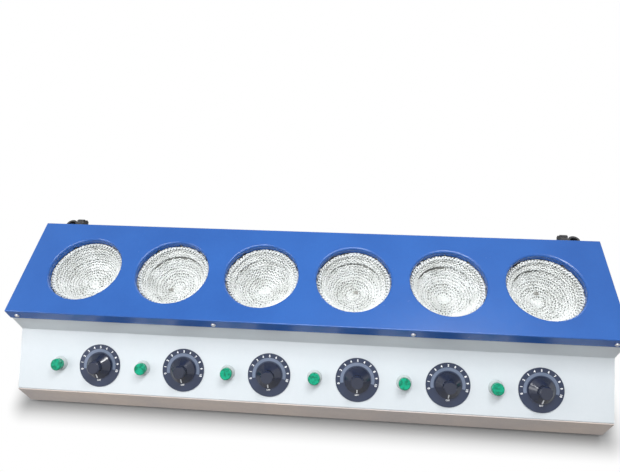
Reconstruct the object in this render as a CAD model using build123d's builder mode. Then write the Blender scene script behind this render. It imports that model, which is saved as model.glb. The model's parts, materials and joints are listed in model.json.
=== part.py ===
from build123d import *
from math import atan2, cos, degrees, pi, radians, sin, tan
import os

# Bank of six electric heating mantles in one console-shaped sheet-metal housing.
# Frame: X along the row of bowls, Y from the front to the rear, Z up from the soles of the feet.

# Sheet metal and seats
sheet = 1.2  # housing sheet thickness
thin_sheet = 0.8  # inner trough sheet thickness
seat_gap = 0.2  # gap where one sheet lies on another
bend_radius = 2.4  # outside radius of a folded edge
soft_gap = 0.3  # gap where the soft bowl or the wool rests on its seat
run_gap = 0.05  # radial gap of a shaft that turns in its bore

# Row of bowls
mantle_count = 6
mantle_pitch = 137.0
end_margin = 93.0  # last bowl centre to the end of the body
row_from_front = 79.5  # bowl centres to the upright strip
row_from_rear = 84.5  # bowl centres to the rear panel

# Console outline, seen from the end
flange_drop = 19.0  # depth of the cover's folded flange
strip_drop = 35.0  # upright strip below the flange
panel_run = 75.0  # how far the control panel comes forward
panel_rise = 52.5  # how far it falls
plinth_height = 45.5  # upright band below the control panel
foot_height = 8.0
return_lip = 12.0  # folded-in lips of the panels
lap_lip = 8.0  # how far the front panel runs down behind the plinth

# Bowl mouth and knitted bowl
mouth_radius = 55.0
collar_depth = 10.0  # down-turned rim of each mouth
collar_bend = 3.0  # width of the slope where the top turns down into the rim
net_inset = 1.5  # bowl rim showing inside the collar
net_lip = 6.0  # bowl rim tucked under the collar
net_rim = 4.0  # rim thickness
net_wall = 5.0
ledge_radius = 43.0  # foot of the sloping rim band
ledge_drop = 13.5
ledge_step = 2.5
bowl_depth = 37.0  # rim to the bottom of the bowl
knit_rows = 4  # raised courses round the bowl
knit_ridge = 1.1
under_steps = 3  # straight stretches of the underside's curve

# Wool packing and its trough
wool_below = 12.0
trough_clear = 1.0  # trough walls to the lips that carry them
trough_from_end = 20.0

# Dials, knobs and energy regulators
first_dial = 127.0  # left end of the body to the first dial
last_dial = 99.0  # last dial to the right end
dial_drop = 49.7  # down the slope from the panel's upper edge
dial_radius = 31.5
dial_thick = 1.0
knob_radius = 18.5
knob_lip = 3.0
knob_cone = 8.0  # height of the cone above the lip
grip_radius = 9.5
grip_height = 11.0
grip_chamfer = 1.5
knob_lift = 0.6  # knob above the dial
knob_recess_radius = 13.0
knob_recess_depth = 5.0
pointer_width = 1.6
pointer_depth = 0.7
spindle_radius = 3.0
spindle_flat = 0.8  # depth of the flat on the spindle's end
spindle_grip = 10.0  # length held in the knob
bush_radius = 5.0
bush_proud = 0.6  # bush above its nut
bush_nut_radius = 8.0
bush_nut_height = 3.0
regulator_width = 34.0
regulator_height = 44.0
regulator_depth = 30.0
regulator_chamfer = 2.0

# Pilot lamps, each to the left of its dial
lamp_to_dial = 62.0
lens_radius = 8.6
lens_height = 8.0
lens_chamfer = 1.2
lens_stem = 6.0  # length of the lens held in the barrel
collar_radius = 11.0
collar_height = 6.0
collar_taper = 18.0  # degrees
barrel_radius = 7.0
barrel_length = 24.0
barrel_wall = 1.5
lamp_nut_radius = 10.5
lamp_nut_height = 3.0

# Rod holders and their clamp screws
rod_from_end = 26.0
rod_bore_radius = 6.1
rod_boss_radius = 9.5
rod_boss_height = 30.0
rod_boss_drop = 2.5  # boss top below the cover's flange
rod_web = 14.0  # width of the web between boss and plate
holder_plate = 3.0
holder_width = 34.0
clamp_radius = 13.0
clamp_length = 11.0
clamp_clear = 1.0  # clamp knob to the holder
clamp_drop = 6.5  # screw axis below the boss top
clamp_stud_radius = 3.0
clamp_lobes = 6
clamp_lobe_cut = 5.0  # radius of the hollows between the lobes
clamp_lobe_offset = 15.5

# Rear panel and base
vent_count = 9
vent_width = 4.0
vent_height = 26.0
vent_pitch = 12.0
vent_group_offset = 205.0
gland_from_end = 60.0
gland_height = 28.0
gland_radius = 9.0
gland_hexagon = 10.5  # corner radius of the gland's hexagon and of its nut
gland_stem = 6.3  # radius of the stem through the panel
gland_stem_length = 8.0
gland_nut = 4.0
gland_base = 5.0  # height of the hexagon outside the panel
gland_taper = 12.0  # degrees
gland_bore_radius = 4.2
gland_length = 16.0
foot_radius = 14.0
foot_taper = 14.0  # degrees
foot_recess_radius = 4.5
foot_recess_depth = 4.0
foot_from_end = 45.0
foot_from_edge = 30.0
foot_screw_radius = 2.0
screw_head_radius = 4.0
screw_head_height = 2.2
screw_radius = 2.0
screw_length = 4.0
terminal_length = 150.0
terminal_depth = 22.0
terminal_height = 18.0
terminal_ways = 6
terminal_pitch = 21.4
terminal_slot = (12.8, 5.5, 6.0)  # length, width and depth of a terminal's recess

# Places worked out from the sizes above
body_length = (mantle_count - 1) * mantle_pitch + 2 * end_margin
shelf_depth = row_from_front + row_from_rear
overlap = sheet + seat_gap
rod_setback = holder_plate + clamp_clear + clamp_radius
rear_reach = rod_setback + clamp_radius
front_y = -(panel_run + shelf_depth + rear_reach) / 2
strip_y = front_y + panel_run
rear_y = strip_y + shelf_depth
row_y = strip_y + row_from_front
base_z = foot_height
panel_bottom_z = base_z + plinth_height
panel_top_z = panel_bottom_z + panel_rise
top_z = panel_top_z + strip_drop + flange_drop
end_x = body_length / 2
mantle_xs = [(k - (mantle_count - 1) / 2) * mantle_pitch for k in range(mantle_count)]
dial_pitch = (body_length - first_dial - last_dial) / (mantle_count - 1)
dial_xs = [first_dial - end_x + k * dial_pitch for k in range(mantle_count)]
lamp_xs = [x - lamp_to_dial for x in dial_xs]
panel_angle = degrees(atan2(panel_rise, panel_run))
panel_normal = (0, -sin(radians(panel_angle)), cos(radians(panel_angle)))
lap_y = front_y + overlap  # outer face of the front panel behind the plinth
lap_z = panel_bottom_z + overlap * panel_rise / panel_run
rim_z = top_z - collar_depth - soft_gap
wool_top_z = rim_z - net_rim - soft_gap
net_bottom_z = rim_z - bowl_depth - net_wall
wool_bottom_z = net_bottom_z - soft_gap - wool_below
trough_top_z = top_z - sheet - seat_gap
lip_z = trough_top_z - thin_sheet - seat_gap
tray_top_z = base_z + sheet
boss_top_z = top_z - flange_drop - rod_boss_drop
clamp_z = boss_top_z - clamp_drop

# Heights above the control panel's face
dial_base = seat_gap
dial_top = dial_base + dial_thick
nut_base = dial_top + seat_gap
nut_top = nut_base + bush_nut_height
bush_top = nut_top + bush_proud
knob_base = dial_top + knob_lift
knob_top = knob_base + knob_lip + knob_cone + grip_height
recess_top = knob_base + knob_recess_depth
spindle_top = recess_top + spindle_grip

os.makedirs("parts", exist_ok=True)


def save(piece, name):
    piece.label = name
    export_step(piece, f"parts/{name}.step")


def panel_plane(x, lift=0.0):
    """Plane on the control panel at a dial or lamp, its local Y up the slope, its Z outward."""
    slope_y = strip_y - dial_drop * cos(radians(panel_angle))
    slope_z = panel_top_z - dial_drop * sin(radians(panel_angle))
    origin = Vector(x, slope_y, slope_z) + Vector(*panel_normal) * lift
    return Plane(origin=origin, x_dir=(1, 0, 0), z_dir=panel_normal)


def end_plane(x):
    """Upright plane across the console: local X is Y, local Y is Z, normal along +X."""
    return Plane(origin=(x, 0, 0), x_dir=(0, 1, 0), z_dir=(1, 0, 0))


def axial_plane(x):
    """Plane through a dial's axis: local X along the panel, local Y outward along the axis."""
    slope = panel_plane(x)
    return Plane(origin=slope.origin, x_dir=(1, 0, 0), z_dir=-slope.y_dir)


def pointer_plane(x):
    """Plane through a dial's axis: local X down the slope, local Y outward along the axis."""
    slope = panel_plane(x)
    return Plane(origin=slope.origin, x_dir=-slope.y_dir, z_dir=(-1, 0, 0))


def console_outline(bottom_z):
    """Outline of the front, cover and rear sheets in Y and Z, from the plinth round to the rear."""
    return [
        (lap_y, bottom_z),
        (lap_y, lap_z),
        (strip_y, panel_top_z),
        (strip_y, lip_z),
        (rear_y, lip_z),
        (rear_y, bottom_z),
    ]


def bowl_curve(radius, depth, top, steps):
    """Quarter ellipse from (radius, top) down to the axis, as points at equal angles."""
    angles = [k * pi / 2 / steps for k in range(steps)]
    return [(radius * cos(a), top - depth * sin(a)) for a in angles] + [(0, top - depth)]


def net_outside(gap):
    """Underside of a knitted bowl from its rim to the axis, grown by a gap."""
    ledge = -ledge_drop - ledge_step
    under_rim = (mouth_radius + net_lip / 2 + gap, -net_rim - gap)
    depth = bowl_depth + ledge + net_wall + gap
    curve = bowl_curve(ledge_radius + net_wall + gap, depth, ledge, under_steps)
    return [under_rim] + curve


def net_inside():
    """Inner face of a knitted bowl: sloping rim band, ledge, then raised courses to the bottom."""
    ledge = -ledge_drop - ledge_step
    radius = ledge_radius - ledge_step
    depth = bowl_depth + ledge
    points = [(mouth_radius - net_inset, 0), (ledge_radius, -ledge_drop), (radius, ledge)]
    for k in range(knit_rows):
        crest = (k + 0.5) * pi / 2 / knit_rows
        valley = (k + 1) * pi / 2 / knit_rows
        points.append(((radius - knit_ridge) * cos(crest), ledge - (depth - knit_ridge) * sin(crest)))
        points.append((radius * cos(valley), ledge - depth * sin(valley)))
    points[-1] = (0, -bowl_depth)
    return points


# Blue top cover: a shallow lid whose mouths are drawn down into collars
cover_length = body_length + 2 * overlap
cover_depth = shelf_depth + 2 * overlap
cover_y = (strip_y + rear_y) / 2
collar_shift = sheet * tan(radians(22.5))  # keeps the sheet's thickness round the slope
collar_outer = mouth_radius + collar_bend + collar_shift
screw_z = top_z - flange_drop / 2
end_screw_ys = [cover_y - shelf_depth / 4, cover_y + shelf_depth / 4]
rear_screw_xs = [-mantle_pitch * 1.5, mantle_pitch * 1.5]
with BuildPart() as collar:
    with BuildSketch(Plane.XZ):
        with BuildLine():
            Polyline(
                (mouth_radius, -collar_depth),
                (mouth_radius, -collar_bend),
                (mouth_radius + collar_bend, 0),
                (collar_outer, 0),
                (collar_outer, -sheet),
                (mouth_radius + sheet, -collar_bend - collar_shift),
                (mouth_radius + sheet, -collar_depth),
                close=True,
            )
        make_face()
    revolve(axis=Axis.Z)
with BuildPart() as top_cover:
    with BuildSketch(Plane.XY.offset(top_z)):
        with Locations((0, cover_y)):
            Rectangle(cover_length, cover_depth)
    extrude(amount=-flange_drop)
    fillet(top_cover.edges().filter_by(Axis.Z), overlap)
    fillet(top_cover.faces().sort_by(Axis.Z)[-1].edges(), overlap)
    offset(amount=-sheet, openings=top_cover.faces().sort_by(Axis.Z)[0])
    with BuildSketch(Plane.XY.offset(top_z)):
        with Locations(*[(x, row_y) for x in mantle_xs]):
            Circle(collar_outer)
    extrude(amount=-2 * sheet, mode=Mode.SUBTRACT)
    with Locations(*[(x, row_y, top_z) for x in mantle_xs]):
        add(collar.part)
    with BuildSketch(end_plane(0)):
        with Locations(*[(y, screw_z) for y in end_screw_ys]):
            Circle(screw_radius + seat_gap)
    extrude(amount=cover_length, both=True, mode=Mode.SUBTRACT)
    with BuildSketch(Plane.XZ.offset(-cover_y)):
        with Locations(*[(x, screw_z) for x in rear_screw_xs]):
            Circle(screw_radius + seat_gap)
    extrude(amount=-cover_depth, mode=Mode.SUBTRACT)
save(top_cover.part, "top_cover")

# White front panel: lip under the cover, upright strip, sloping control panel, lap behind the plinth
panel_holes = [(x, bush_radius) for x in dial_xs] + [(x, barrel_radius) for x in lamp_xs]
with BuildPart() as front_panel:
    with BuildSketch(end_plane(-end_x)):
        with BuildLine():
            FilletPolyline(
                (strip_y + return_lip, lip_z),
                (strip_y, lip_z),
                (strip_y, panel_top_z),
                (lap_y, lap_z),
                (lap_y, lap_z - lap_lip),
                radius=bend_radius,
            )
            offset(amount=sheet, side=Side.LEFT)
        make_face()
    extrude(amount=body_length)
    for x, radius in panel_holes:
        with BuildSketch(panel_plane(x, 1.0)):
            Circle(radius + seat_gap)
        extrude(amount=-1.0 - 2 * sheet, mode=Mode.SUBTRACT)
save(front_panel.part, "front_panel")

# Rear panel: a lip under the cover, two groups of vents, the gland hole
gland_x = end_x - gland_from_end
vent_xs = [
    side * vent_group_offset + (k - (vent_count - 1) / 2) * vent_pitch
    for side in (-1, 1)
    for k in range(vent_count)
]
vent_z = (base_z + boss_top_z) / 2
gland_z = base_z + gland_height
with BuildPart() as rear_panel:
    with BuildSketch(end_plane(-end_x)):
        with BuildLine():
            FilletPolyline(
                (rear_y - return_lip, lip_z), (rear_y, lip_z), (rear_y, base_z), radius=bend_radius
            )
            offset(amount=sheet, side=Side.RIGHT)
        make_face()
    extrude(amount=body_length)
    with BuildSketch(Plane.XZ.offset(-rear_y)):
        with Locations(*[(x, vent_z) for x in vent_xs]):
            Rectangle(vent_width, vent_height)
        with Locations((gland_x, gland_z)):
            Circle(gland_stem + seat_gap)
        with Locations(*[(x, screw_z) for x in rear_screw_xs]):
            Circle(screw_radius + seat_gap)
    extrude(amount=2 * sheet, mode=Mode.SUBTRACT)
save(rear_panel.part, "rear_panel")

# End panels: pressed trays that the front, rear and cover lap over
flange_bottom_z = base_z + bend_radius + seat_gap
for side, name in ((-1, "end_panel_left"), (1, "end_panel_right")):
    with BuildPart() as end_panel:
        for bottom_z, depth in ((base_z, sheet), (flange_bottom_z, return_lip)):
            with BuildSketch(end_plane(side * end_x)):
                with BuildLine():
                    Polyline(*console_outline(bottom_z - overlap), close=True)
                make_face()
                offset(amount=-overlap, kind=Kind.INTERSECTION, mode=Mode.REPLACE)
                fillet(vertices(), bend_radius)
            extrude(amount=-side * depth)
        with BuildSketch(end_plane(side * (end_x - sheet))):
            with BuildLine():
                Polyline(*console_outline(base_z - 2 * overlap), close=True)
            make_face()
            offset(amount=-overlap - sheet, kind=Kind.INTERSECTION, mode=Mode.REPLACE)
            fillet(vertices(), bend_radius - sheet)
        extrude(amount=-side * return_lip, mode=Mode.SUBTRACT)
        with BuildSketch(end_plane(side * end_x)):
            with Locations(*[(y, screw_z) for y in end_screw_ys]):
                Circle(screw_radius + seat_gap)
        extrude(amount=-side * 2 * sheet, mode=Mode.SUBTRACT)
    save(end_panel.part, name)

# Base tray: floor, plinth across the front, upstands at the rear and the ends
tray_rear_y = rear_y - overlap
tray_end_x = end_x - overlap
upstand_z = tray_top_z + return_lip
foot_xs = (-end_x + foot_from_end, end_x - foot_from_end)
foot_ys = (front_y + foot_from_edge, rear_y - foot_from_edge)
foot_places = [(x, y) for x in foot_xs for y in foot_ys]
with BuildPart() as base_tray:
    with BuildSketch(end_plane(-tray_end_x)):
        with BuildLine():
            FilletPolyline(
                (front_y, panel_bottom_z),
                (front_y, base_z),
                (tray_rear_y, base_z),
                (tray_rear_y, upstand_z),
                radius=bend_radius,
            )
            offset(amount=sheet, side=Side.LEFT)
        make_face()
    extrude(amount=2 * tray_end_x)
    with BuildSketch(end_plane(-end_x)):
        with Locations((front_y + sheet / 2, (base_z + bend_radius + panel_bottom_z) / 2)):
            Rectangle(sheet, plinth_height - bend_radius)
    extrude(amount=body_length)
    for side in (-1, 1):
        with BuildSketch(Plane.XY.offset(tray_top_z + seat_gap)):
            with Locations((side * (tray_end_x - return_lip / 2), tray_rear_y)):
                Rectangle(return_lip + overlap, 4 * sheet)
        extrude(amount=return_lip, mode=Mode.SUBTRACT)
        with BuildSketch(Plane.XY.offset(base_z)):
            with Locations((side * (tray_end_x - sheet / 2), (front_y + rear_y) / 2)):
                Rectangle(sheet, rear_y - front_y - 4 * return_lip)
        extrude(amount=upstand_z - base_z)
    with BuildSketch(Plane.XY.offset(base_z)):
        with Locations(*foot_places):
            Circle(foot_screw_radius + seat_gap)
    extrude(amount=sheet, mode=Mode.SUBTRACT)
save(base_tray.part, "base_tray")

# Rubber feet, each with a recess for its screw
with BuildPart() as feet:
    with BuildSketch(Plane.XY.offset(foot_height - seat_gap)):
        with Locations(*foot_places):
            Circle(foot_radius)
    extrude(amount=-foot_height + seat_gap, taper=foot_taper)
    with BuildSketch():
        with Locations(*foot_places):
            Circle(foot_recess_radius)
    extrude(amount=foot_recess_depth, mode=Mode.SUBTRACT)
    with BuildSketch():
        with Locations(*foot_places):
            Circle(foot_screw_radius + seat_gap)
    extrude(amount=foot_height, mode=Mode.SUBTRACT)
save(feet.part, "feet")

# Inner trough hung by its flanges on the lips of the front and rear panels
trough_front_y = strip_y + return_lip + trough_clear
trough_rear_y = rear_y - return_lip - trough_clear
trough_end_x = end_x - trough_from_end
trough_bottom_z = wool_bottom_z - soft_gap - thin_sheet
trough_y = (trough_front_y + trough_rear_y) / 2
trough_depth = trough_rear_y - trough_front_y
with BuildPart() as inner_trough:
    with BuildSketch(Plane.XY.offset(trough_bottom_z)):
        with Locations((0, trough_y)):
            Rectangle(2 * trough_end_x, trough_depth)
    extrude(amount=trough_top_z - trough_bottom_z)
    offset(amount=-thin_sheet, openings=inner_trough.faces().sort_by(Axis.Z)[-1])
    with BuildSketch(Plane.XY.offset(trough_top_z)):
        with Locations((0, cover_y)):
            Rectangle(2 * trough_end_x, shelf_depth - 2 * overlap)
        with Locations((0, trough_y)):
            Rectangle(2 * trough_end_x, trough_depth - 2 * thin_sheet, mode=Mode.SUBTRACT)
    extrude(amount=-thin_sheet)
save(inner_trough.part, "inner_trough")

# Glass-wool packing with a pocket for each bowl
with BuildPart() as wool_packing:
    with BuildSketch(Plane.XY.offset(wool_bottom_z)):
        with Locations((0, trough_y)):
            Rectangle(
                2 * (trough_end_x - thin_sheet - soft_gap), trough_depth - 2 * (thin_sheet + soft_gap)
            )
    extrude(amount=wool_top_z - wool_bottom_z)
    for x in mantle_xs:
        with BuildSketch(Plane(origin=(x, row_y, rim_z), x_dir=(1, 0, 0), z_dir=(0, -1, 0))):
            with BuildLine():
                Polyline(*net_outside(soft_gap), (0, 0), (mouth_radius + net_lip / 2 + soft_gap, 0), close=True)
            make_face()
        revolve(axis=Axis((x, row_y, 0), (0, 0, 1)), mode=Mode.SUBTRACT)
save(wool_packing.part, "wool_packing")

# Knitted glass-yarn bowls
for k, x in enumerate(mantle_xs, 1):
    with BuildPart() as net_bowl:
        with BuildSketch(Plane(origin=(x, row_y, rim_z), x_dir=(1, 0, 0), z_dir=(0, -1, 0))):
            with BuildLine():
                Polyline(
                    *net_inside(),
                    *reversed(net_outside(0)),
                    (mouth_radius + net_lip, -net_rim),
                    (mouth_radius + net_lip, 0),
                    close=True,
                )
            make_face()
        revolve(axis=Axis((x, row_y, 0), (0, 0, 1)))
    save(net_bowl.part, f"net_bowl_{k}")

# Dial plates, energy regulators, their spindles and knobs
bore_radius = spindle_radius + run_gap
spindle_start = -sheet - seat_gap - regulator_depth / 2
for k, x in enumerate(dial_xs, 1):
    with BuildPart() as dial_plate:
        with BuildSketch(panel_plane(x, dial_base)):
            Circle(dial_radius)
            Circle(bush_radius + seat_gap, mode=Mode.SUBTRACT)
        extrude(amount=dial_thick)
    save(dial_plate.part, f"dial_plate_{k}")

    with BuildPart() as regulator:
        with BuildSketch(panel_plane(x, -sheet - seat_gap)):
            Rectangle(regulator_width, regulator_height)
        extrude(amount=-regulator_depth)
        chamfer(regulator.edges().filter_by(Axis(panel_plane(x).origin, panel_normal)), regulator_chamfer)
        with BuildSketch(panel_plane(x, -sheet - seat_gap)):
            Circle(bush_radius)
        extrude(amount=bush_top + sheet + seat_gap)
        with BuildSketch(panel_plane(x, bush_top)):
            Circle(bore_radius)
        extrude(amount=spindle_start - seat_gap - bush_top, mode=Mode.SUBTRACT)
    save(regulator.part, f"regulator_{k}")

    with BuildPart() as spindle:
        with BuildSketch(panel_plane(x, spindle_start)):
            Circle(spindle_radius)
        extrude(amount=spindle_top - spindle_start)
        with BuildSketch(panel_plane(x, recess_top)):
            with Locations((0, -spindle_radius)):
                Rectangle(2 * spindle_radius, 2 * spindle_flat)
        extrude(amount=spindle_grip, mode=Mode.SUBTRACT)
    save(spindle.part, f"spindle_{k}")

    with BuildPart() as knob:
        with BuildSketch(axial_plane(x)):
            with BuildLine():
                Polyline(
                    (0, knob_base),
                    (knob_radius, knob_base),
                    (knob_radius, knob_base + knob_lip),
                    (grip_radius, knob_base + knob_lip + knob_cone),
                    (grip_radius, knob_top - grip_chamfer),
                    (grip_radius - grip_chamfer, knob_top),
                    (0, knob_top),
                    close=True,
                )
            make_face()
        revolve(axis=Axis(panel_plane(x).origin, panel_normal))
        with BuildSketch(panel_plane(x, knob_base)):
            Circle(knob_recess_radius)
        extrude(amount=knob_recess_depth, mode=Mode.SUBTRACT)
        with BuildSketch(panel_plane(x, recess_top)):
            Circle(bore_radius)
            with Locations((0, -spindle_radius - run_gap)):
                Rectangle(2 * bore_radius, 2 * spindle_flat, mode=Mode.SUBTRACT)
        extrude(amount=spindle_grip + seat_gap, mode=Mode.SUBTRACT)
        with BuildSketch(pointer_plane(x)):
            with BuildLine():
                Polyline(
                    (knob_radius, knob_base + knob_lip + pointer_depth),
                    (grip_radius, knob_base + knob_lip + knob_cone + pointer_depth),
                    (grip_radius, knob_base + knob_lip + knob_cone - pointer_depth),
                    (knob_radius, knob_base + knob_lip - pointer_depth),
                    close=True,
                )
            make_face()
        extrude(amount=pointer_width / 2, both=True, mode=Mode.SUBTRACT)
    save(knob.part, f"knob_{k}")

with BuildPart() as bush_nuts:
    for x in dial_xs:
        with BuildSketch(panel_plane(x, nut_base)):
            RegularPolygon(bush_nut_radius, 6)
            Circle(bush_radius + run_gap, mode=Mode.SUBTRACT)
        extrude(amount=bush_nut_height)
save(bush_nuts.part, "bush_nuts")

# Pilot lamps: pale collar and barrel, green lens, nut behind the panel
lamp_bore = barrel_radius - barrel_wall
collar_base = seat_gap
collar_top = collar_base + collar_height
lens_base = collar_top + seat_gap
lens_top = collar_top + lens_height
for k, x in enumerate(lamp_xs, 1):
    with BuildPart() as lamp_body:
        with BuildSketch(panel_plane(x, collar_base)):
            Circle(collar_radius)
        extrude(amount=collar_height, taper=collar_taper)
        with BuildSketch(panel_plane(x, collar_base)):
            Circle(barrel_radius)
        extrude(amount=-barrel_length)
        with BuildSketch(panel_plane(x, collar_top)):
            Circle(lamp_bore)
        extrude(amount=-lens_stem - seat_gap, mode=Mode.SUBTRACT)
    save(lamp_body.part, f"lamp_body_{k}")

    with BuildPart() as lamp_lens:
        with BuildSketch(axial_plane(x)):
            with BuildLine():
                Polyline(
                    (0, collar_top - lens_stem),
                    (lamp_bore - run_gap, collar_top - lens_stem),
                    (lamp_bore - run_gap, lens_base),
                    (lens_radius, lens_base),
                    (lens_radius, lens_top - lens_chamfer),
                    (lens_radius - lens_chamfer, lens_top),
                    (0, lens_top),
                    close=True,
                )
            make_face()
        revolve(axis=Axis(panel_plane(x).origin, panel_normal))
    save(lamp_lens.part, f"lamp_lens_{k}")

with BuildPart() as lamp_nuts:
    for x in lamp_xs:
        with BuildSketch(panel_plane(x, -sheet - seat_gap)):
            RegularPolygon(lamp_nut_radius, 6)
            Circle(barrel_radius + run_gap, mode=Mode.SUBTRACT)
        extrude(amount=-lamp_nut_height)
save(lamp_nuts.part, "lamp_nuts")

# Rod holders on the rear panel and the clamp screws that pinch the rod
rod_y = rear_y + rod_setback
stud_end = rod_bore_radius + seat_gap
clamp_start = rod_boss_radius + clamp_clear
for side, name in ((-1, "left"), (1, "right")):
    rod_x = side * (end_x - rod_from_end)
    plate_x = rod_x - side * (holder_width / 2 - rod_boss_radius)
    with BuildPart() as rod_holder:
        with BuildSketch(Plane.XY.offset(boss_top_z)):
            with Locations((rod_x, rod_y)):
                Circle(rod_boss_radius)
            with Locations((rod_x, (rear_y + seat_gap + rod_y) / 2)):
                Rectangle(rod_web, rod_setback - seat_gap)
            with Locations((plate_x, rear_y + seat_gap + holder_plate / 2)):
                Rectangle(holder_width, holder_plate)
        extrude(amount=-rod_boss_height)
        with BuildSketch(Plane.XY.offset(boss_top_z)):
            with Locations((rod_x, rod_y)):
                Circle(rod_bore_radius)
        extrude(amount=-rod_boss_height, mode=Mode.SUBTRACT)
        with BuildSketch(end_plane(rod_x)):
            with Locations((rod_y, clamp_z)):
                Circle(clamp_stud_radius + run_gap)
        extrude(amount=-side * 2 * rod_boss_radius, mode=Mode.SUBTRACT)
    save(rod_holder.part, f"rod_holder_{name}")

    with BuildPart() as clamp_screw:
        with BuildSketch(end_plane(rod_x - side * stud_end)):
            with Locations((rod_y, clamp_z)):
                Circle(clamp_stud_radius)
        extrude(amount=-side * (clamp_start + clamp_length / 2 - stud_end))
        with BuildSketch(end_plane(rod_x - side * clamp_start)):
            with Locations((rod_y, clamp_z)):
                Circle(clamp_radius)
                with PolarLocations(clamp_lobe_offset, clamp_lobes, start_angle=180 / clamp_lobes):
                    Circle(clamp_lobe_cut, mode=Mode.SUBTRACT)
        extrude(amount=-side * clamp_length)
    save(clamp_screw.part, f"clamp_screw_{name}")

# Cable gland, terminal block and the cover's screws
with BuildPart() as cable_gland:
    gland_face = Plane(origin=(gland_x, rear_y + seat_gap, gland_z), x_dir=(1, 0, 0), z_dir=(0, 1, 0))
    with BuildSketch(gland_face):
        RegularPolygon(gland_hexagon, 6)
    extrude(amount=gland_base)
    with BuildSketch(gland_face.offset(gland_base)):
        Circle(gland_radius)
    extrude(amount=gland_length - gland_base, taper=gland_taper)
    with BuildSketch(gland_face):
        Circle(gland_stem)
    extrude(amount=-gland_stem_length)
    with BuildSketch(gland_face.offset(-sheet - 2 * seat_gap)):
        RegularPolygon(gland_hexagon, 6)
    extrude(amount=-gland_nut)
    with BuildSketch(gland_face.offset(gland_length)):
        Circle(gland_bore_radius)
    extrude(amount=-gland_length - gland_stem_length, mode=Mode.SUBTRACT)
save(cable_gland.part, "cable_gland")

terminal_y = rear_y - 2 * return_lip - terminal_depth / 2
terminal_x = gland_x - gland_radius - terminal_length
slot_length, slot_width, slot_depth = terminal_slot
with BuildPart() as terminal_block:
    with BuildSketch(Plane.XY.offset(tray_top_z + seat_gap)):
        with Locations((terminal_x, terminal_y)):
            Rectangle(terminal_length, terminal_depth)
    extrude(amount=terminal_height)
    with BuildSketch(Plane.XY.offset(tray_top_z + seat_gap + terminal_height)):
        with Locations((terminal_x, terminal_y)):
            with GridLocations(terminal_pitch, terminal_depth / 2, terminal_ways, 2):
                Rectangle(slot_length, slot_width)
    extrude(amount=-slot_depth, mode=Mode.SUBTRACT)
save(terminal_block.part, "terminal_block")

cover_end_x = cover_length / 2
with BuildPart() as cover_screws:
    for side in (-1, 1):
        for y in end_screw_ys:
            for radius, start, length in (
                (screw_head_radius, cover_end_x + seat_gap, screw_head_height),
                (screw_radius, cover_end_x + seat_gap, -screw_length),
            ):
                with BuildSketch(end_plane(side * start)):
                    with Locations((y, screw_z)):
                        Circle(radius)
                extrude(amount=side * length)
    for x in rear_screw_xs:
        for radius, start, length in (
            (screw_head_radius, rear_y + overlap + seat_gap, screw_head_height),
            (screw_radius, rear_y + overlap + seat_gap, -screw_length),
        ):
            with BuildSketch(Plane(origin=(x, start, screw_z), x_dir=(1, 0, 0), z_dir=(0, 1, 0))):
                Circle(radius)
            extrude(amount=length)
save(cover_screws.part, "cover_screws")
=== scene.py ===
import json
import math
import bmesh
import bpy
import numpy as np
from mathutils import Matrix, Vector


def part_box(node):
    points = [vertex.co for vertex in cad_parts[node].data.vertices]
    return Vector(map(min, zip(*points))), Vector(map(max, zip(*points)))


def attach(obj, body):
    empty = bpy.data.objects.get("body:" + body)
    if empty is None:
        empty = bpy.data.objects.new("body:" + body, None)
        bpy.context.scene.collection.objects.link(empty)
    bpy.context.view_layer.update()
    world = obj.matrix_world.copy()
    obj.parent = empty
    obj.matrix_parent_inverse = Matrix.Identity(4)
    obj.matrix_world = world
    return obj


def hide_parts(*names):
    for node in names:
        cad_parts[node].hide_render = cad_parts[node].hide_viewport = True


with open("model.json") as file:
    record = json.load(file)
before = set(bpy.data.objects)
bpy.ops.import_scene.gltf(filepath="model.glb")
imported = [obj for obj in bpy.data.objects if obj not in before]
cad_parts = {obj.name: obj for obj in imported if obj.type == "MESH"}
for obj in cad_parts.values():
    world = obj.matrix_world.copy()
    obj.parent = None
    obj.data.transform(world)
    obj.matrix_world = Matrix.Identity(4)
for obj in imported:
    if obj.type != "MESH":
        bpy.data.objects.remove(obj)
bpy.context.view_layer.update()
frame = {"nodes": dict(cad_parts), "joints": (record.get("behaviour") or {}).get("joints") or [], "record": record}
nodes = frame["nodes"]
joints = {joint["name"]: joint for joint in frame["joints"]}
print("frame loaded:", len(nodes), "nodes")

bank = {"count": 6, "mouthRadius": 0.055}
places = range(1, bank["count"] + 1)


def addObject(name, data):
    thing = bpy.data.objects.new(name, data)
    bpy.context.scene.collection.objects.link(thing)
    return thing


# Camera: turned about Z by yaw, tipped down by pitch, rolled about its own line of sight

view = {
    "place": (0.0690, -0.4182, 0.8158),
    "yaw": -0.136932,
    "pitch": 0.900520,
    "roll": 0.073938,
    "focal": 533.88,  # in dots of an image this many dots across
    "across": 620,
    "sensor": 36.0,  # millimetres
}


def makeCamera():
    yaw, pitch, roll = view["yaw"], view["pitch"], view["roll"]
    ahead = Vector((math.sin(yaw) * math.cos(pitch), math.cos(yaw) * math.cos(pitch), -math.sin(pitch)))
    right = Vector((math.cos(yaw), -math.sin(yaw), 0))
    down = ahead.cross(right)
    rolledRight = math.cos(roll) * right + math.sin(roll) * down
    rolledDown = math.cos(roll) * down - math.sin(roll) * right
    data = bpy.data.cameras.new("camera")
    data.sensor_width = view["sensor"]
    data.lens = view["sensor"] * view["focal"] / view["across"]
    camera = addObject("camera", data)
    turn = Matrix((rolledRight, -rolledDown, -ahead)).transposed()
    camera.matrix_world = Matrix.Translation(view["place"]) @ turn.to_4x4()
    bpy.context.scene.camera = camera


makeCamera()


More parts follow.
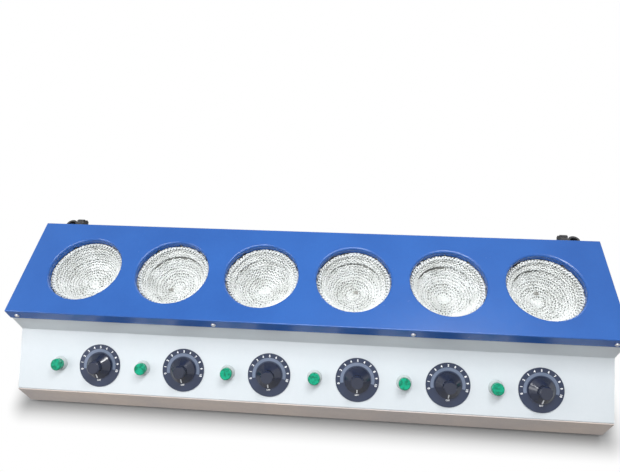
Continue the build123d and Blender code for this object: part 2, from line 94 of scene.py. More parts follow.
class Wire:
    # A node's output, whose arithmetic adds Math nodes
    def __init__(self, tree, socket):
        self.tree = tree
        self.socket = socket

    def maths(self, operation, other):
        node = self.tree.nodes.new("ShaderNodeMath")
        node.operation = operation
        plug(self.tree, node.inputs[0], self)
        plug(self.tree, node.inputs[1], other)
        return Wire(self.tree, node.outputs[0])

    def __add__(self, other):
        return self.maths("ADD", other)

    def __mul__(self, other):
        return self.maths("MULTIPLY", other)


def plug(tree, slot, value):
    if isinstance(value, Wire):
        tree.links.new(value.socket, slot)
    else:
        slot.default_value = value


class Finish:
    # One material: constants go on its shader, anything else comes from add()
    def __init__(self, name, **constants):
        self.material = bpy.data.materials.new(name)
        self.material.use_nodes = True
        self.tree = self.material.node_tree
        self.shader = self.tree.nodes["Principled BSDF"]
        for label, value in constants.items():
            self.feed(label, value)

    def feed(self, label, value):
        # BaseColor is the socket Base Color
        spaced = "".join(" " + letter if letter.isupper() else letter for letter in label).strip()
        plug(self.tree, self.shader.inputs[spaced.replace("I O R", "IOR")], value)

    def add(self, kind, settings, inputs, output=0):
        node = self.tree.nodes.new("ShaderNode" + kind)
        for key, value in settings.items():
            setattr(node, key, value)
        for key, value in inputs.items():
            plug(self.tree, node.inputs[key], value)
        return Wire(self.tree, node.outputs[output])

    def place(self):
        return self.add("TexCoord", {}, {}, "Object")

    def noise(self, scale, detail=2.0, rough=0.5, stretch=None):
        place = self.place()
        if stretch:
            place = self.add("Mapping", {}, {"Vector": place, "Scale": stretch})
        return self.add("TexNoise", {}, {"Vector": place, "Scale": scale, "Detail": detail, "Roughness": rough})

    def mix(self, share, first, second):
        inputs = {0: share, 6: (*first, 1) if isinstance(first, tuple) else first}
        inputs[7] = (*second, 1) if isinstance(second, tuple) else second
        return self.add("Mix", {"data_type": "RGBA"}, inputs, 2)

    def tint(self, wire, low, high, tones):
        # Base colour: the first tone where wire is under low, the second where it is over high
        node = self.tree.nodes.new("ShaderNodeValToRGB")
        for stop, place in zip(node.color_ramp.elements, (low, high)):
            stop.position = place
        plug(self.tree, node.inputs["Fac"], wire)
        self.feed("BaseColor", self.mix(Wire(self.tree, node.outputs["Color"]), *tones))

    def roughen(self, wire, middle, spread):
        # Roughness of middle, give or take half the spread
        self.feed("Roughness", wire * spread + (middle - spread / 2))

    def bump(self, height, distance):
        self.feed("Normal", self.add("Bump", {}, {"Height": height, "Distance": distance}))


# Finishes: tones are two colours, roughness is the middle value and its spread, scales are waves in a metre

enamel = {
    "blue_enamel": (((0.012, 0.090, 0.345), (0.007, 0.072, 0.298)), 0.24),
    "white_enamel": (((0.595, 0.635, 0.665), (0.555, 0.60, 0.632)), 0.36),
    # plinth_enamel: its grey-brown tones are painted shade and a painted reflection of a brown floor, laid on what
    # is white paint like the panel's
    "plinth_enamel": (((0.58, 0.49, 0.43), (0.46, 0.41, 0.39)), 0.42),
    "spread": 0.16,
    "driftScale": 9.0,
    "dustScale": 160.0,
    "dustShare": 0.25,
    "peelScale": 420.0,  # orange peel of the powder coat
    "peelDepth": 0.00006,
}


def camelName(slot):
    first, second = slot.split("_")
    return first + second.title()


def enamelFinish(slot):
    tones, roughness = enamel[slot]
    finish = Finish(camelName(slot))
    drift = finish.noise(enamel["driftScale"], 3.0)
    dust = finish.noise(enamel["dustScale"], 4.0, 0.7)
    finish.tint(drift * (1 - enamel["dustShare"]) + dust * enamel["dustShare"], 0.35, 0.65, tones)
    finish.roughen(dust, roughness, enamel["spread"])
    finish.bump(finish.noise(enamel["peelScale"]), enamel["peelDepth"])
    return finish.material


zinc = {"tones": ((0.52, 0.53, 0.55), (0.66, 0.67, 0.69)), "spangleScale": 90.0, "roughness": (0.45, 0.2)}


def zincFinish():
    finish = Finish("zincSheet", Metallic=1.0)
    spangle = finish.add("TexVoronoi", {}, {"Vector": finish.place(), "Scale": zinc["spangleScale"]}, "Color")
    grey = finish.add("RGBToBW", {}, {"Color": spangle})
    finish.feed("BaseColor", finish.mix(grey, *zinc["tones"]))
    finish.roughen(grey, *zinc["roughness"])
    return finish.material


yarn = {
    "tones": ((0.64, 0.66, 0.64), (0.86, 0.885, 0.88)),
    "patchScale": 38.0,
    "fleckScale": 900.0,
    "fleckShare": 0.4,
    "roughness": (0.8, 0.2),
    "fibreScale": 2600.0,
    "fibreDepth": 0.0003,
}


def yarnFinish():
    finish = Finish("glassYarn", SheenWeight=0.25, SheenRoughness=0.5)
    patch = finish.noise(yarn["patchScale"], 3.0)
    fleck = finish.noise(yarn["fleckScale"], 3.0, 0.7)
    finish.tint(patch * (1 - yarn["fleckShare"]) + fleck * yarn["fleckShare"], 0.36, 0.62, yarn["tones"])
    finish.roughen(fleck, *yarn["roughness"])
    finish.bump(finish.noise(yarn["fibreScale"]), yarn["fibreDepth"])
    return finish.material


# Backing fabric under the knit: a real layer, but its dark greys are painted shade for the gaps between the loops
# and the groove under the rim band
backingPaintedShade = {
    "tones": ((0.19, 0.197, 0.185), (0.38, 0.39, 0.37)),
    "fleckScale": 420.0,
    "roughness": (0.9, 0.1),
    "fibreScale": 1500.0,
    "fibreDepth": 0.0006,
}


def yarnBackFinish():
    finish = Finish("backingPaintedShade")
    fleck = finish.noise(backingPaintedShade["fleckScale"], 3.0, 0.7)
    finish.tint(fleck, 0.35, 0.7, backingPaintedShade["tones"])
    finish.roughen(fleck, *backingPaintedShade["roughness"])
    finish.bump(finish.noise(backingPaintedShade["fibreScale"], 3.0), backingPaintedShade["fibreDepth"])
    return finish.material


wool = {
    "tones": ((0.58, 0.56, 0.49), (0.80, 0.79, 0.73)),
    "tuftScale": 160.0,
    "layers": (1.0, 1.0, 4.0),  # the wool lies in flat layers
    "roughness": (0.93, 0.1),
    "tuftDepth": 0.003,
}


def woolFinish():
    finish = Finish("glassWool")
    tuft = finish.noise(wool["tuftScale"], 5.0, 0.75, wool["layers"])
    finish.tint(tuft, 0.3, 0.7, wool["tones"])
    finish.roughen(tuft, *wool["roughness"])
    finish.bump(tuft, wool["tuftDepth"])
    return finish.material


steel = {
    "tones": ((0.50, 0.50, 0.52), (0.68, 0.68, 0.70)),
    "ringScale": 700.0,
    "stretch": (0.2, 1.0, 1.0),
    "roughness": (0.325, 0.25),
    "ringDepth": 0.00003,
}


def steelFinish():
    finish = Finish("brightSteel", Metallic=1.0)
    ring = finish.noise(steel["ringScale"], 3.0, 0.6, steel["stretch"])
    finish.feed("BaseColor", finish.mix(ring, *steel["tones"]))
    finish.roughen(ring, *steel["roughness"])
    finish.bump(ring, steel["ringDepth"])
    return finish.material


lens = {"tones": ((0.0006, 0.16, 0.085), (0.002, 0.335, 0.190)), "depthScale": 240.0, "roughness": (0.21, 0.1)}


def lensFinish():
    finish = Finish("lampGreen", SpecularIORLevel=0.3)
    depth = finish.noise(lens["depthScale"])
    finish.tint(depth, 0.38, 0.60, lens["tones"])
    finish.roughen(depth, *lens["roughness"])
    return finish.material


# Moulded and printed finishes: dark and light tone, roughness and, where it differs, the grain's scale and depth
moulded = {
    "dial_black": ((0.011, 0.019, 0.048), (0.017, 0.027, 0.062), 0.32),
    "knob_black": ((0.009, 0.013, 0.030), (0.015, 0.020, 0.042), 0.18),
    "regulator_case": ((0.66, 0.62, 0.52), (0.78, 0.74, 0.66), 0.5),
    "lamp_collar": ((0.40, 0.45, 0.45), (0.50, 0.55, 0.55), 0.26),
    "holder_black": ((0.012, 0.012, 0.014), (0.022, 0.022, 0.024), 0.42, 500.0, 0.0001),
    "clamp_black": ((0.010, 0.010, 0.011), (0.020, 0.020, 0.021), 0.48, 700.0, 0.00008),
    "gland_black": ((0.018, 0.018, 0.018), (0.030, 0.030, 0.030), 0.5),
    "terminal_white": ((0.74, 0.73, 0.68), (0.84, 0.83, 0.79), 0.45),
    "foot_rubber": ((0.012, 0.012, 0.012), (0.028, 0.028, 0.028), 0.75, 1200.0, 0.0001),
    "print_white": ((0.86, 0.88, 0.90), (0.92, 0.93, 0.94), 0.45),
    "print_band": ((0.105, 0.138, 0.205), (0.150, 0.185, 0.262), 0.42),
    "tie_thread": ((0.26, 0.26, 0.24), (0.42, 0.42, 0.39), 0.8, 2400.0, 0.0002),
}
mouldedWaves = {"scale": 30.0, "spread": 0.12, "knobCoat": 0.3}


def mouldedFinish(slot, dark, light, roughness, grainScale=900.0, grainDepth=0.00004):
    finish = Finish(camelName(slot))
    if slot == "knob_black":
        finish.feed("CoatWeight", mouldedWaves["knobCoat"])
    wave = finish.noise(mouldedWaves["scale"], 3.0)
    grain = finish.noise(grainScale)
    finish.tint(wave, 0.3, 0.7, (dark, light))
    finish.roughen(grain, roughness, mouldedWaves["spread"])
    finish.bump(grain, grainDepth)
    return finish.material


def makeFinishes():
    made = {slot: enamelFinish(slot) for slot in ("blue_enamel", "white_enamel", "plinth_enamel")}
    made["zinc_sheet"] = zincFinish()
    made["glass_yarn"] = yarnFinish()
    made["backing_painted_shade"] = yarnBackFinish()
    made["glass_wool"] = woolFinish()
    made["bright_steel"] = steelFinish()
    made["lamp_green"] = lensFinish()
    made.update({slot: mouldedFinish(slot, *row) for slot, row in moulded.items()})
    return made


finishes = makeFinishes()
for part in frame["record"]["subparts"]:
    mesh = nodes[part["node"]].data
    mesh.materials.clear()
    mesh.materials.append(finishes[part["material_slot"]])
print("finishes made:", len(finishes))


# Surfaces worked out on a grid

def gridQuads(rows, columns, closeRows=False, closeColumns=False):
    # Quads between neighbouring points of a grid, wrapped round where a side closes
    row, column = np.meshgrid(
        np.arange(rows if closeRows else rows - 1),
        np.arange(columns if closeColumns else columns - 1),
        indexing="ij",
    )
    nextRow, nextColumn = (row + 1) % rows, (column + 1) % columns
    corners = [row * columns + column, row * columns + nextColumn]
    corners += [nextRow * columns + nextColumn, nextRow * columns + column]
    return np.stack(corners, -1).reshape(-1, 4)


def makePiece(name, points, quads, finish, body, smooth=True):
    # One mesh object at the origin from points and quads
    mesh = bpy.data.meshes.new(name)
    points = np.asarray(points, np.float32).reshape(-1, 3)
    mesh.vertices.add(len(points))
    mesh.vertices.foreach_set("co", points.ravel())
    mesh.loops.add(quads.size)
    mesh.loops.foreach_set("vertex_index", quads.astype(np.int32).ravel())
    mesh.polygons.add(len(quads))
    mesh.polygons.foreach_set("loop_start", np.arange(0, quads.size, 4, dtype=np.int32))
    mesh.polygons.foreach_set("use_smooth", np.full(len(quads), smooth))
    mesh.update(calc_edges=True)
    mesh.materials.append(finishes[finish])
    piece = addObject(name, mesh)
    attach(piece, body)
    return piece


def stackGrids(grids):
    # Several grids of points and their quads as one list of each
    points, quads, start = [], [], 0
    for gridPoints, gridFaces in grids:
        points.append(gridPoints.reshape(-1, 3))
        quads.append(gridFaces + start)
        start += len(points[-1])
    return np.concatenate(points), np.concatenate(quads)


def lathe(profile, centre, side, up, axis, steps):
    # Each profile point (radius, height) swept round the axis through centre
    radius, height = np.asarray(profile, float).T
    angle = np.linspace(0, 2 * np.pi, steps, endpoint=False)
    ring = np.cos(angle)[:, None] * side + np.sin(angle)[:, None] * up
    points = centre + radius[:, None, None] * ring + height[:, None, None] * axis
    return points, gridQuads(len(radius), steps, closeColumns=True)


sideways, forwards, upwards = np.eye(3)


# Rolled bends of the mouths, laid on the cover's own slopes

collar = {
    "bend": 0.0030,
    "proud": 0.00003,
    "steps": 128,
    "bendSteps": 14,
}


def bowlCentre(k):
    low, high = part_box(f"net_bowl_{k}")
    return np.array([(low.x + high.x) / 2, (low.y + high.y) / 2, high.z])


def coverTop():
    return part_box("top_cover")[1].z


def makeCollar(k):
    # Quarter circle of the bend from the cover's top down into the mouth's wall
    turn = np.linspace(0, np.pi / 2, collar["bendSteps"])
    radius = bank["mouthRadius"] + collar["bend"] * (1 - np.sin(turn)) - collar["proud"] * np.sin(turn)
    height = coverTop() + collar["proud"] * np.cos(turn) - collar["bend"] * (1 - np.cos(turn))
    centre = bowlCentre(k) * (1, 1, 0)
    points, quads = lathe(np.stack([radius, height], 1), centre, sideways, forwards, upwards, collar["steps"])
    makePiece(f"mouthBend_{k}", points, quads[:, ::-1], "blue_enamel", "housing")


# Pan-head screws through the cover's front flange

flangeScrew = {
    "across": (-0.422, -0.128, 0.153, 0.422),
    "below": 0.0110,  # under the cover's top
    "radius": 0.0033,
    "height": 0.0021,
    "sunk": 0.0002,
    "steps": 32,
    # Straight rim, domed crown and a sunk drive, as shares of radius and height
    "profile": (
        (1.0, 0.35), (0.94, 0.62), (0.80, 0.84), (0.60, 0.96), (0.36, 1.0), (0.27, 0.96), (0.20, 0.55), (0.0, 0.50),
    ),
}


def makeFlangeScrew(number, x):
    # The profile turned round the screw's axis
    size = np.array([flangeScrew["radius"], flangeScrew["height"]])
    seat = np.array([(0, -flangeScrew["sunk"]), (flangeScrew["radius"], -flangeScrew["sunk"])])
    centre = np.array([x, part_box("top_cover")[0].y, coverTop() - flangeScrew["below"]])
    profile = np.concatenate([seat, np.array(flangeScrew["profile"]) * size])
    points, quads = lathe(profile, centre, sideways, upwards, -forwards, flangeScrew["steps"])
    makePiece(f"flangeScrew_{number}", points, quads, "bright_steel", "housing")


# Knitted bowls: courses of looped yarn over a slack surface, with a whipped hem

knit = {
    "seed": 71,
    "firstCourse": 0.0068,
    "coursePitch": 0.0047,
    "stitches": ((0.040, 54), (0.027, 38), (0.014, 22), (0.0, 11)),  # stitches in a course down to each radius
    "dots": 14,  # points in a stitch
    "sides": 5,
    "yarn": 0.00084,
    "swing": 0.22,  # sideways swing of a loop, as a share of its width
    "reach": 0.64,  # half a loop's height, as a share of the course pitch
    "lift": 0.00080,  # how far a loop rises over its neighbour
    "uneven": 0.14,  # spread of the loops' heights, places and thickness
    "stray": (0.6, 0.3),  # of that, down the bowl in course pitches and off it in yarns
    "lastGap": 0.001,  # between the last course and the middle
    "backing": 0.0016,
    "deepest": 0.0032,  # room under the net before it meets the wool
    "backSteps": (96, 64),
    "backFrom": 0.0062,
    "ledgePlace": 0.0222,  # length down the line to the middle of the groove under the rim band
    "ledgeWidth": 0.0034,
    "ledgeDepth": 0.0032,
    "ledgeGap": 0.0031,  # how far the courses draw back on each side of the groove
    "ledgeReach": 0.0070,
    "ledgeFade": 1.5,  # how fast the groove dies away to the far side
    "lineSteps": 240,
    "smoothing": 5,  # points averaged along the line
}
# Radius and height below the rim, from the tucked edge to the foot of the ledge
knitRim = (
    (0.0580, -0.0020), (0.0545, -0.0016), (0.0530, -0.0024), (0.0490, -0.0066), (0.0450, -0.0112),
    (0.0437, -0.0132), (0.0440, -0.0150), (0.0428, -0.0164), (0.0405, -0.0170),
)
knitBottom = {"radius": 0.0405, "depth": 0.0195, "top": -0.0170, "steps": 60}
# How each bowl hangs: share of the groove, degrees round to its deepest side, size of the folds,
# and dents as place in X and Y from the middle, radius and depth
hang = {
    1: {
        "groove": 0.20, "side": 90, "fold": 0.0010,
        "dents": ((0.014, 0.005, 0.011, 0.0060), (-0.014, -0.001, 0.013, -0.0060), (0.005, -0.023, 0.010, -0.0040)),
    },
    2: {
        "groove": 1.00, "side": 100, "fold": 0.0007,
        "dents": ((-0.020, 0.006, 0.012, 0.0020), (0.018, -0.010, 0.012, -0.0015)),
    },
    3: {
        "groove": 0.60, "side": 130, "fold": 0.0013,
        "dents": ((-0.014, 0.016, 0.012, 0.0030), (0.012, -0.010, 0.014, -0.0025)),
    },
    4: {
        "groove": 0.70, "side": 85, "fold": 0.0010,
        "dents": ((-0.018, -0.004, 0.012, 0.0030), (0.020, 0.006, 0.012, -0.0020)),
    },
    5: {
        "groove": 0.90, "side": 115, "fold": 0.0009,
        "dents": ((-0.022, 0.010, 0.010, 0.0030), (0.006, -0.014, 0.015, -0.0015)),
    },
    6: {
        "groove": 0.85, "side": 125, "fold": 0.0008,
        "dents": ((-0.024, 0.012, 0.010, 0.0030), (0.014, 0.004, 0.016, -0.0020)),
    },
}
folds = {
    "rounds": (2, 3, 5, 7),  # waves round the bowl
    "fade": (1.0, 1.2, 1.8, 2.6),
    "least": 0.4,
    "twist": 5,
    "edge": 0.08,  # share of the line that stays without folds
    "power": 0.7,
}


def knitProfile():
    # The rim's points, then a quarter ellipse to the axis, at even lengths along the line
    angle = np.linspace(0, np.pi / 2, knitBottom["steps"])[1:]
    ellipse = np.stack([
        knitBottom["radius"] * np.cos(angle),
        knitBottom["top"] - knitBottom["depth"] * np.sin(angle),
    ], 1)
    line = np.concatenate([np.array(knitRim), ellipse])
    along = np.concatenate([[0], np.cumsum(np.hypot(*np.diff(line, axis=0).T))])
    even = np.linspace(0, along[-1], knit["lineSteps"])
    smooth = np.stack([np.interp(even, along, line[:, i]) for i in (0, 1)], 1)
    kernel = np.ones(knit["smoothing"]) / knit["smoothing"]
    side = knit["smoothing"] // 2
    for i in (0, 1):
        smooth[side:-side, i] = np.convolve(smooth[:, i], kernel, "valid")
    return even, smooth


knitAlong, knitLine = knitProfile()
knitSlope = np.gradient(knitLine, knitAlong, axis=0)


def foldWave(k, angle, depth=0):
    # Slack folds of one bowl: sines round it and down it, with their own phases
    rng = np.random.default_rng(knit["seed"] + k)
    rounds = folds["rounds"]
    phase = rng.uniform(0, 2 * np.pi, (len(rounds), 2))
    share = rng.uniform(folds["least"], 1.0, len(rounds)) / np.array(folds["fade"])
    return sum(
        share[i] * np.sin(rounds[i] * angle + phase[i, 0] + folds["twist"] * depth * np.cos(phase[i, 1]))
        for i in range(len(rounds))
    )


def grooveShare(k, angle):
    # How deep bowl k's groove is round the bowl, deepest at its own side
    turned = angle - math.radians(hang[k]["side"])
    return hang[k]["groove"] * (0.5 + 0.5 * np.cos(turned)) ** knit["ledgeFade"]


def bowlSurface(k, angle, along):
    # Point and inward normal on bowl k's surface at an angle round it and a length down its line
    along = np.clip(along, 0, knitAlong[-1])
    radius, height = (np.interp(along, knitAlong, knitLine[:, i]) for i in (0, 1))
    dr, dz = (np.interp(along, knitAlong, knitSlope[:, i]) for i in (0, 1))
    length = np.hypot(dr, dz) + 1e-9
    out = np.stack([np.cos(angle), np.sin(angle), np.zeros_like(angle)], -1)
    normal = (dz / length)[..., None] * out + (-dr / length)[..., None] * upwards
    depth = along / knitAlong[-1]
    hung = np.clip((depth - folds["edge"]) / (1 - folds["edge"]), 0, 1)
    slack = hang[k]["fold"] * foldWave(k, angle, depth) * np.sin(np.pi * hung) ** folds["power"]
    for x, y, size, deep in hang[k]["dents"]:
        near = ((radius * np.cos(angle) - x) ** 2 + (radius * np.sin(angle) - y) ** 2) / size**2
        slack = slack - deep * np.exp(-near)
    under = np.exp(-(((along - knit["ledgePlace"]) / knit["ledgeWidth"]) ** 2))
    push = knit["ledgeDepth"] * grooveShare(k, angle) * under
    slack = np.maximum(slack, push - knit["deepest"])
    point = bowlCentre(k) + (radius + push)[..., None] * out + height[..., None] * upwards
    return point + slack[..., None] * normal, normal


def tube(path, normal, radius, sides):
    # Rings of points round a closed path, set across its direction
    ahead = np.roll(path, -1, -2) - np.roll(path, 1, -2)
    ahead /= np.linalg.norm(ahead, axis=-1, keepdims=True) + 1e-12
    across = np.cross(ahead, normal)
    across /= np.linalg.norm(across, axis=-1, keepdims=True) + 1e-12
    rise = np.cross(across, ahead)
    angle = np.linspace(0, 2 * np.pi, sides, endpoint=False) + np.pi / 4
    ring = np.cos(angle)[:, None] * across[..., None, :] + np.sin(angle)[:, None] * rise[..., None, :]
    points = path[..., None, :] + np.broadcast_to(radius, path.shape[:-1])[..., None, None] * ring
    return points, gridQuads(path.shape[-2], sides, closeRows=True, closeColumns=True)


def courseOf(k, along, count, rng):
    # One course: loops x = t + swing sin 2t, y = reach cos t, z = lift cos 2t, wrapped round the bowl
    t = np.arange(count * knit["dots"]) * 2 * np.pi / knit["dots"]
    wander, tall, fat = (np.repeat(rng.normal(0, knit["uneven"], count), knit["dots"]) for _ in range(3))
    start = rng.uniform(0, 2 * np.pi) * (along > knit["ledgePlace"])
    angle = (t + start + 2 * np.pi * knit["swing"] * np.sin(2 * t)) / count
    beside = along - knit["ledgePlace"]
    draw = knit["ledgeGap"] * np.sign(beside) * np.exp(-((beside / knit["ledgeReach"]) ** 2))
    strayDown, strayOff = knit["stray"]
    down = along + knit["coursePitch"] * (knit["reach"] * (1 + tall) * np.cos(t) + wander * strayDown)
    down = down + grooveShare(k, angle) * draw
    point, normal = bowlSurface(k, angle, down)
    path = point + (knit["lift"] * np.cos(2 * t) + knit["yarn"] * strayOff * wander)[:, None] * normal
    return tube(path, normal, knit["yarn"] * (1 + fat), knit["sides"])


hem = {
    "radius": 0.0517,
    "drop": 0.0010,
    "fat": 0.0017,
    "yarn": 0.0012,
    "turns": 66,
    "dots": 9,
    "sides": 6,
    "slack": 0.0005,
}


def hemOf(k):
    # Yarn whipped round the bowl's edge: a helix bent into a ring that wanders a little
    t = np.arange(hem["turns"] * hem["dots"]) * 2 * np.pi / hem["dots"]
    angle = t / hem["turns"]
    wander = hem["slack"] * foldWave(k, angle)
    out = np.stack([np.cos(angle), np.sin(angle), np.zeros_like(angle)], -1)
    middle = bowlCentre(k) + (hem["radius"] - abs(wander))[:, None] * out
    middle = middle + (wander - hem["drop"])[:, None] * upwards
    normal = np.cos(t)[:, None] * out + np.sin(t)[:, None] * upwards
    return tube(middle + hem["fat"] * normal, normal, hem["yarn"], hem["sides"])


def makeBowl(k):
    rng = np.random.default_rng(knit["seed"] * k)
    grids = [hemOf(k)]
    for along in np.arange(knit["firstCourse"], knitAlong[-1] - knit["lastGap"], knit["coursePitch"]):
        radius = np.interp(along, knitAlong, knitLine[:, 0])
        count = next(stitches for limit, stitches in knit["stitches"] if radius > limit)
        grids.append(courseOf(k, along, count, rng))
    points, quads = stackGrids(grids)
    bowl = makePiece(f"knittedBowl_{k}", points, quads, "glass_yarn", "housing")
    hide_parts(f"net_bowl_{k}")
    return len(quads) * 2


def makeBacking(k):
    # Second layer of fabric just under the loops, from below the hem to the middle; its dark greys are painted
    # shade seen through the gaps between the loops and in the groove
    around, down = knit["backSteps"]
    angle, along = np.meshgrid(
        np.linspace(0, 2 * np.pi, around, endpoint=False),
        np.linspace(knit["backFrom"], knitAlong[-1], down),
        indexing="xy",
    )
    point, normal = bowlSurface(k, angle, along)
    quads = gridQuads(down, around, closeColumns=True)
    makePiece(f"bowlBacking_{k}", point - knit["backing"] * normal, quads, "backing_painted_shade", "housing")


# Tie threads where three of the bowls are gathered

tie = {
    "places": {2: (-0.0112, -0.0046), 4: (0.0042, 0.0048), 6: (0.0006, 0.0158)},  # from each bowl's middle
    "size": 0.00120,
    "yarn": 0.00075,
    "flat": 0.6,
    "squash": 0.7,
    "dots": 96,
    "sides": 6,
    "raise": 0.0016,
}


def makeTie(k, x, y):
    # A trefoil knot, flattened onto the bowl: (2 + cos 3t) round twice, rising by sin 3t
    t = np.linspace(0, 2 * np.pi, tie["dots"], endpoint=False)
    ring = 2 + np.cos(3 * t)
    spot = np.hypot(x, y)
    below = knitLine[:, 0] < knitBottom["radius"]
    along = np.interp(-spot, -knitLine[below, 0], knitAlong[below])
    middle, normal = bowlSurface(k, np.array([math.atan2(y, x)]), np.array([along]))
    middle, normal = middle[0], normal[0]
    across = np.cross(normal, forwards)
    across /= np.linalg.norm(across)
    beside = np.cross(normal, across)
    path = middle + tie["raise"] * normal + tie["size"] * (
        (ring * np.cos(2 * t))[:, None] * across
        + (tie["squash"] * ring * np.sin(2 * t))[:, None] * beside
        + (tie["flat"] * np.sin(3 * t))[:, None] * normal
    )
    points, quads = tube(path, np.broadcast_to(normal, path.shape), tie["yarn"], tie["sides"])
    makePiece(f"tieThread_{k}", points, quads, "tie_thread", "housing")


# Dial prints: a band, eleven numerals and OFF, each a thin film on its plate

dial = {
    "faceLift": 0.00122,
    "film": 0.00006,
    "sweep": math.radians(206),
    "bandInner": 0.0203,
    "bandOuter": 0.0248,
    "bandSteps": 72,
    "numeralRadius": 0.0274,
    "numeralSize": 0.0046,
    "numerals": 11,
    "offRadius": 0.0216,
    "offSize": 0.0032,
    "bold": 0.03,  # thickening of the letters, as a share of their size
    "curveSteps": 3,
}


def dialFrame(k):
    joint = joints[f"knob_{k}_turn"]
    axis = np.array(joint["axis"], float)
    axis /= np.linalg.norm(axis)
    upSlope = np.cross(axis, sideways)
    return np.array(joint["pos_m"]), upSlope, axis


def dialPoint(k, radius, clockwise, lift):
    # A place on dial k: radius and angle clockwise from the top, lifted off the panel
    centre, upSlope, axis = dialFrame(k)
    return centre + radius * (math.sin(clockwise) * sideways + math.cos(clockwise) * upSlope) + lift * axis


def makeBand(k):
    # A thin closed strip between two radii over the dial's sweep
    centre, upSlope, axis = dialFrame(k)
    angle = np.linspace(-dial["sweep"] / 2, dial["sweep"] / 2, dial["bandSteps"])
    ray = np.sin(angle)[:, None] * sideways + np.cos(angle)[:, None] * upSlope
    low, high = dial["faceLift"] - dial["film"], dial["faceLift"] + dial["film"]
    inner, outer = dial["bandInner"], dial["bandOuter"]
    section = [(inner, low), (inner, high), (outer, high), (outer, low)]
    points = np.stack([centre + r * ray + lift * axis for r, lift in section], 1)
    quads = gridQuads(dial["bandSteps"], 4, closeColumns=True)
    last = 4 * (dial["bandSteps"] - 1)
    ends = np.array([[0, 1, 2, 3], [last + 3, last + 2, last + 1, last]])
    makePiece(f"dialBand_{k}", points, np.concatenate([quads, ends]), "print_band", "housing", False)


def textMesh(words, size, film):
    curve = bpy.data.curves.new("letters", "FONT")
    curve.body = words
    curve.size = size
    curve.align_x = "CENTER"
    curve.align_y = "CENTER"
    curve.extrude = film
    curve.offset = size * dial["bold"]
    curve.resolution_u = dial["curveSteps"]
    letters = addObject("letters", curve)
    bpy.context.view_layer.update()
    mesh = bpy.data.meshes.new_from_object(letters.evaluated_get(bpy.context.evaluated_depsgraph_get()))
    bpy.data.objects.remove(letters)
    return mesh


def makeNumerals(k):
    # Numerals from 0 round the sweep and OFF below, joined as one mesh
    _, upSlope, axis = dialFrame(k)
    joined = bmesh.new()
    words = []
    for n in range(dial["numerals"]):
        clockwise = dial["sweep"] * (n / (dial["numerals"] - 1) - 0.5)
        words.append((str(n), dial["numeralRadius"], clockwise, dial["numeralSize"]))
    words.append(("OFF", dial["offRadius"], math.pi, dial["offSize"]))
    for text, radius, clockwise, size in words:
        mesh = textMesh(text, size, dial["film"])
        spin = 0 if text == "OFF" else clockwise
        across = math.cos(spin) * sideways - math.sin(spin) * upSlope
        up = math.sin(spin) * sideways + math.cos(spin) * upSlope
        turn = Matrix([list(row) for row in np.stack([across, up, axis], 1)]).to_4x4()
        spot = dialPoint(k, radius, clockwise, dial["faceLift"])
        mesh.transform(Matrix.Translation(spot.tolist()) @ turn)
        joined.from_mesh(mesh)
        bpy.data.meshes.remove(mesh)
    mesh = bpy.data.meshes.new(f"dialNumerals_{k}")
    joined.to_mesh(mesh)
    joined.free()
    mesh.materials.append(finishes["print_white"])
    piece = addObject(f"dialNumerals_{k}", mesh)
    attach(piece, "housing")


# White pointer in each knob's groove

pointer = {
    "width": 0.0015,
    "inner": (0.0112, 0.0112),  # radius and height above the panel
    "outer": (0.0173, 0.0058),
    "thick": 0.0005,
}


def makePointer(k):
    # A thin bar down the knob's cone, on the side that points at OFF
    centre, upSlope, axis = dialFrame(k)
    (innerRadius, innerLift), (outerRadius, outerLift) = pointer["inner"], pointer["outer"]
    inner = centre - innerRadius * upSlope + innerLift * axis
    outer = centre - outerRadius * upSlope + outerLift * axis
    along = (outer - inner) / np.linalg.norm(outer - inner)
    lift = np.cross(along, sideways)
    lift *= np.sign(lift @ axis) * pointer["thick"]
    half = pointer["width"] / 2 * sideways
    section = np.array([-half, half, half + lift, -half + lift])
    points = np.stack([inner + section, outer + section])
    quads = np.concatenate([gridQuads(2, 4, closeColumns=True), [[0, 1, 2, 3], [7, 6, 5, 4]]])
    makePiece(f"pointer_{k}", points, quads, "print_white", f"control_{k}", False)


for number, x in enumerate(flangeScrew["across"], 1):
    makeFlangeScrew(number, x)
triangles = [makeBowl(k) for k in places]
print("triangles in each bowl:", triangles)
for k, (x, y) in tie["places"].items():
    makeTie(k, x, y)
for k in places:
    makeBacking(k)
    makeCollar(k)
    makeBand(k)
    makeNumerals(k)
    makePointer(k)
print("pieces made")


# Pale floor with a painted shadow round the object, soft lamps

studio = {
    "floorSize": 9.0,
    "floorBounce": 0.36,
    "floorShadowTone": 0.33,
    "floorGlow": 0.02,
    "floorRoughness": 0.9,
    "shadowHalf": (0.440, 0.1345, 0.0),  # half size of the plan that the floor's painted shadow is measured from
    "whiteFrom": 0.0,  # metres outside it where the painted shadow starts to fade into the white backdrop
    "whiteTo": 0.041,
    "skyStrength": 0.30,
    "skyTone": (0.98, 0.99, 1.0),
    "lampAim": (0.0, 0.0, 0.1),
}
# Name, place, size in X and Y, watts
lamps = (
    ("overhead", (0.06, -0.06, 1.50), (1.4, 0.40), 23.5),
    ("fill", (-1.50, -0.70, 1.15), (0.8, 0.8), 8.0),
    ("tubeRight", (0.52, 0.30, 1.55), (0.10, 0.22), 2.4),
    ("tubeLeft", (-1.37, 0.04, 1.60), (0.10, 0.30), 3.4),
    ("frontStrip", (0.0, -1.50, 0.95), (2.2, 0.14), 3.0),
    ("backFill", (0.25, 2.20, 0.80), (1.6, 0.6), 14.0),
)


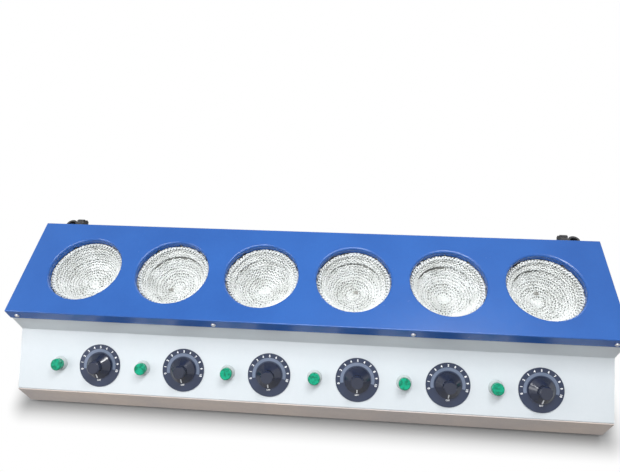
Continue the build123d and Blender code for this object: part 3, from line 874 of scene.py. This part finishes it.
def makeFloor():
    half = studio["floorSize"] / 2
    mesh = bpy.data.meshes.new("floor")
    mesh.from_pydata([(-half, -half, 0), (half, -half, 0), (half, half, 0), (-half, half, 0)], [], [(0, 1, 2, 3)])
    floor = addObject("floor", mesh)
    finish = Finish("floorFinish", Roughness=studio["floorRoughness"], SpecularIORLevel=0.0)
    rays = finish.tree.nodes.new("ShaderNodeLightPath")
    seen = Wire(finish.tree, rays.outputs["Is Camera Ray"])
    outside = finish.add("VectorMath", {"operation": "ABSOLUTE"}, {0: finish.place()})
    outside = finish.add("VectorMath", {"operation": "SUBTRACT"}, {0: outside, 1: studio["shadowHalf"]})
    outside = finish.add("VectorMath", {"operation": "MAXIMUM"}, {0: outside, 1: (0, 0, 0)})
    spread = finish.add("VectorMath", {"operation": "LENGTH"}, {0: outside}, "Value")
    # Painted shadow: near the object the camera sees a dark floor tone, lit by the lamps, fading into white with
    # distance from the plan
    fade = finish.add(
        "MapRange", {"interpolation_type": "SMOOTHSTEP"},
        {"Value": spread, "From Min": studio["whiteFrom"], "From Max": studio["whiteTo"]},
    )
    shadowTone, bounce, glow = studio["floorShadowTone"], studio["floorBounce"], studio["floorGlow"]
    finish.feed("BaseColor", finish.mix(seen, (bounce,) * 3, finish.mix(fade, (shadowTone,) * 3, (0.0,) * 3)))
    finish.feed("EmissionColor", (1, 1, 1, 1))
    finish.feed("EmissionStrength", seen * (fade * (1 - glow) + glow))
    mesh.materials.append(finish.material)


def makeWorld():
    world = bpy.data.worlds.new("sky")
    bpy.context.scene.world = world
    world.use_nodes = True
    tree = world.node_tree
    background = tree.nodes["Background"]
    background.inputs["Color"].default_value = (*studio["skyTone"], 1)
    rays = tree.nodes.new("ShaderNodeLightPath")
    kinds = ("Camera", "Glossy", "Transmission")
    camera, glossy, through = (Wire(tree, rays.outputs[f"Is {kind} Ray"]) for kind in kinds)
    direct = camera.maths("MAXIMUM", glossy.maths("MAXIMUM", through))
    plug(tree, background.inputs["Strength"], direct * (1 - studio["skyStrength"]) + studio["skyStrength"])


def makeLamp(name, place, size, watts):
    data = bpy.data.lights.new(name, "AREA")
    data.shape = "RECTANGLE"
    data.size, data.size_y = size
    data.energy = watts
    lamp = addObject(name, data)
    lamp.location = place
    lamp.rotation_euler = (Vector(place) - Vector(studio["lampAim"])).to_track_quat("Z", "Y").to_euler()


makeFloor()
makeWorld()
for lamp in lamps:
    makeLamp(*lamp)
bpy.context.scene.view_settings.view_transform = "Standard"
print("studio set")
